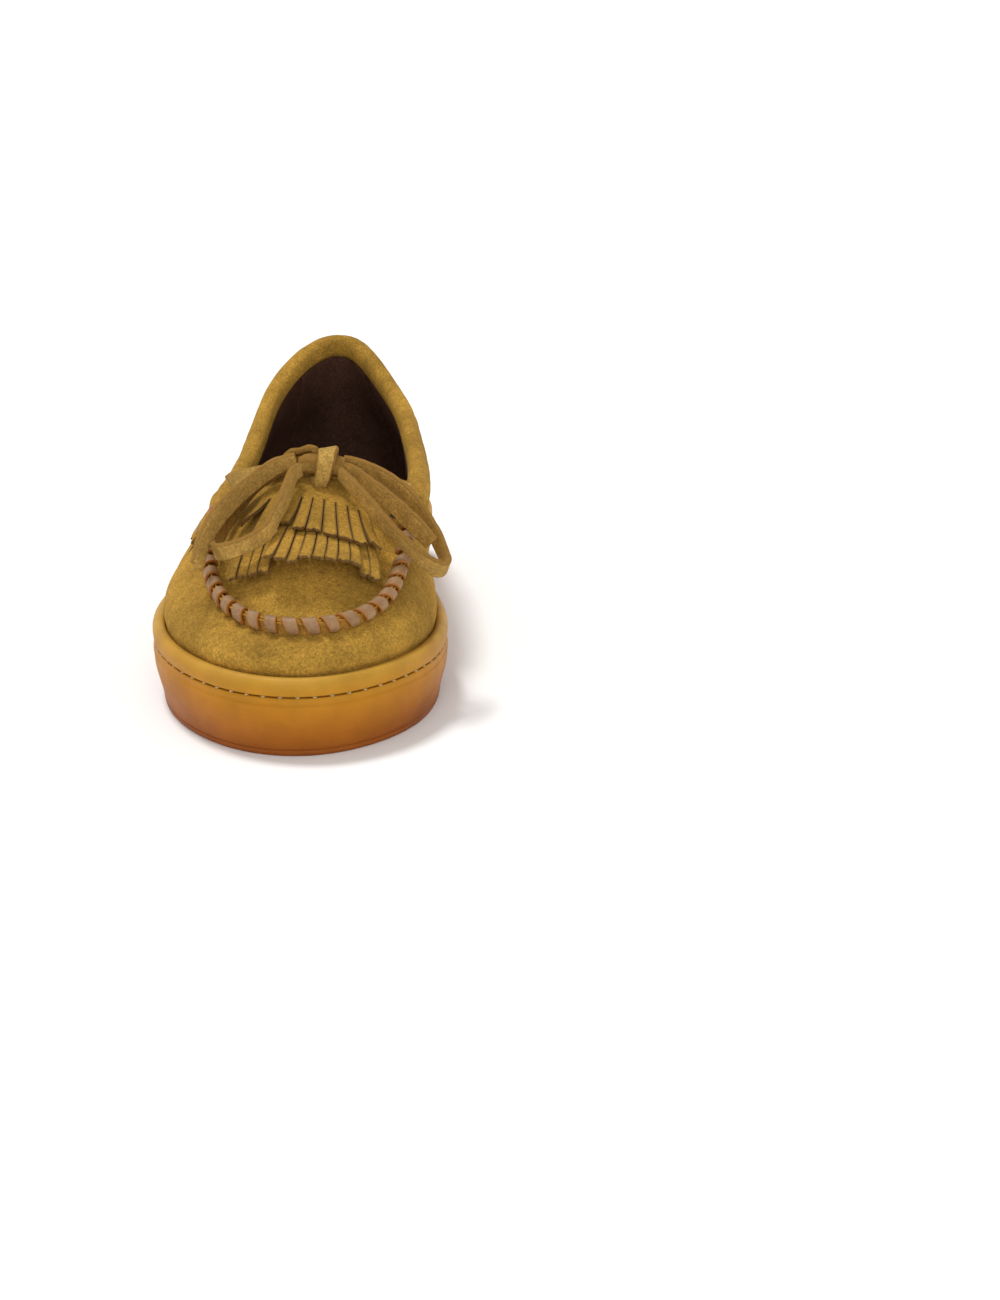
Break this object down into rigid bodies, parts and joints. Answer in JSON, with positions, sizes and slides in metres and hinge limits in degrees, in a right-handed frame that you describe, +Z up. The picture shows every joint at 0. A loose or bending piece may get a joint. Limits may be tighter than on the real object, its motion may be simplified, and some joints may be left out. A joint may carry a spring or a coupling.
{
  "type": "kiltie moccasin",
  "caption": "Low suede moccasin on a stitched gum cup sole, with a padded collar, raised apron seam, fringed kiltie flap and a lace bow; right foot.",
  "frame": {"origin": "on the ground, under the middle of the shoe's outline", "axes": "-Y towards the toe, +X towards the inner (medial) side of the foot, +Z up"},
  "size_m": [0.1054, 0.2719, 0.0955],
  "materials": {
    "gum_rubber": "satin, slightly translucent gum rubber",
    "suede": "brushed suede nap",
    "suede_lace": "suede lace, cut edges",
    "dark_strip": "dark suede strip",
    "whip_lace_leather": "thin smooth leather lace",
    "seam_cord_leather": "smooth leather cord",
    "thread": "waxed thread",
    "orange_thread": "waxed thread",
    "lining_leather": "smooth dark brown leather",
    "grip_suede": "dark brushed suede",
    "board": "pressed fibre board",
    "foam": "closed-cell foam",
    "stiffener_board": "stiff fibre sheet"
  },
  "bodies": {
    "shoe": {"cup_sole": "gum_rubber", "sole_stitching": "thread", "midsole_filler": "foam", "lasting_board": "board", "footbed_foam": "foam", "sock_cover": "lining_leather", "vamp": "suede", "quarter_medial": "suede", "quarter_lateral": "suede", "side_strip_medial": "dark_strip", "side_strip_lateral": "dark_strip", "heel_counter": "suede", "counter_stitching": "thread", "heel_patch": "suede", "heel_patch_stitching": "thread", "counter_stiffener": "stiffener_board", "vamp_lining": "lining_leather", "quarter_lining": "lining_leather", "heel_grip": "grip_suede", "collar": "suede", "collar_padding": "foam", "collar_stitching": "thread", "apron": "suede", "apron_lining": "lining_leather", "seam_cord": "seam_cord_leather", "whip_lace": "whip_lace_leather", "cross_stitches_medial": "orange_thread", "cross_stitches_lateral": "orange_thread", "tongue": "suede", "tongue_lining": "lining_leather", "tongue_roll": "suede", "lace_run_medial": "suede_lace", "lace_run_lateral": "suede_lace"},
    "kiltie": {"kiltie_lower": "suede", "kiltie_upper": "suede", "bow_knot": "suede_lace"},
    "bow_medial": {"bow_loop_medial": "suede_lace", "bow_tail_medial": "suede_lace"},
    "bow_lateral": {"bow_loop_lateral": "suede_lace", "bow_tail_lateral": "suede_lace"}
  },
  "joints": [
    {"name": "kiltie_lift", "type": "hinge", "parent": "shoe", "child": "kiltie", "pos_m": [0, -0.05, 0.073], "axis": [-1, 0, 0], "range_deg": [0, 45]},
    {"name": "bow_medial_swing", "type": "hinge", "parent": "kiltie", "child": "bow_medial", "pos_m": [0.013, -0.061, 0.079], "axis": [0, -1, 0], "range_deg": [0, 50]},
    {"name": "bow_lateral_swing", "type": "hinge", "parent": "kiltie", "child": "bow_lateral", "pos_m": [0.005, -0.061, 0.079], "axis": [0, 1, 0], "range_deg": [0, 50]}
  ]
}
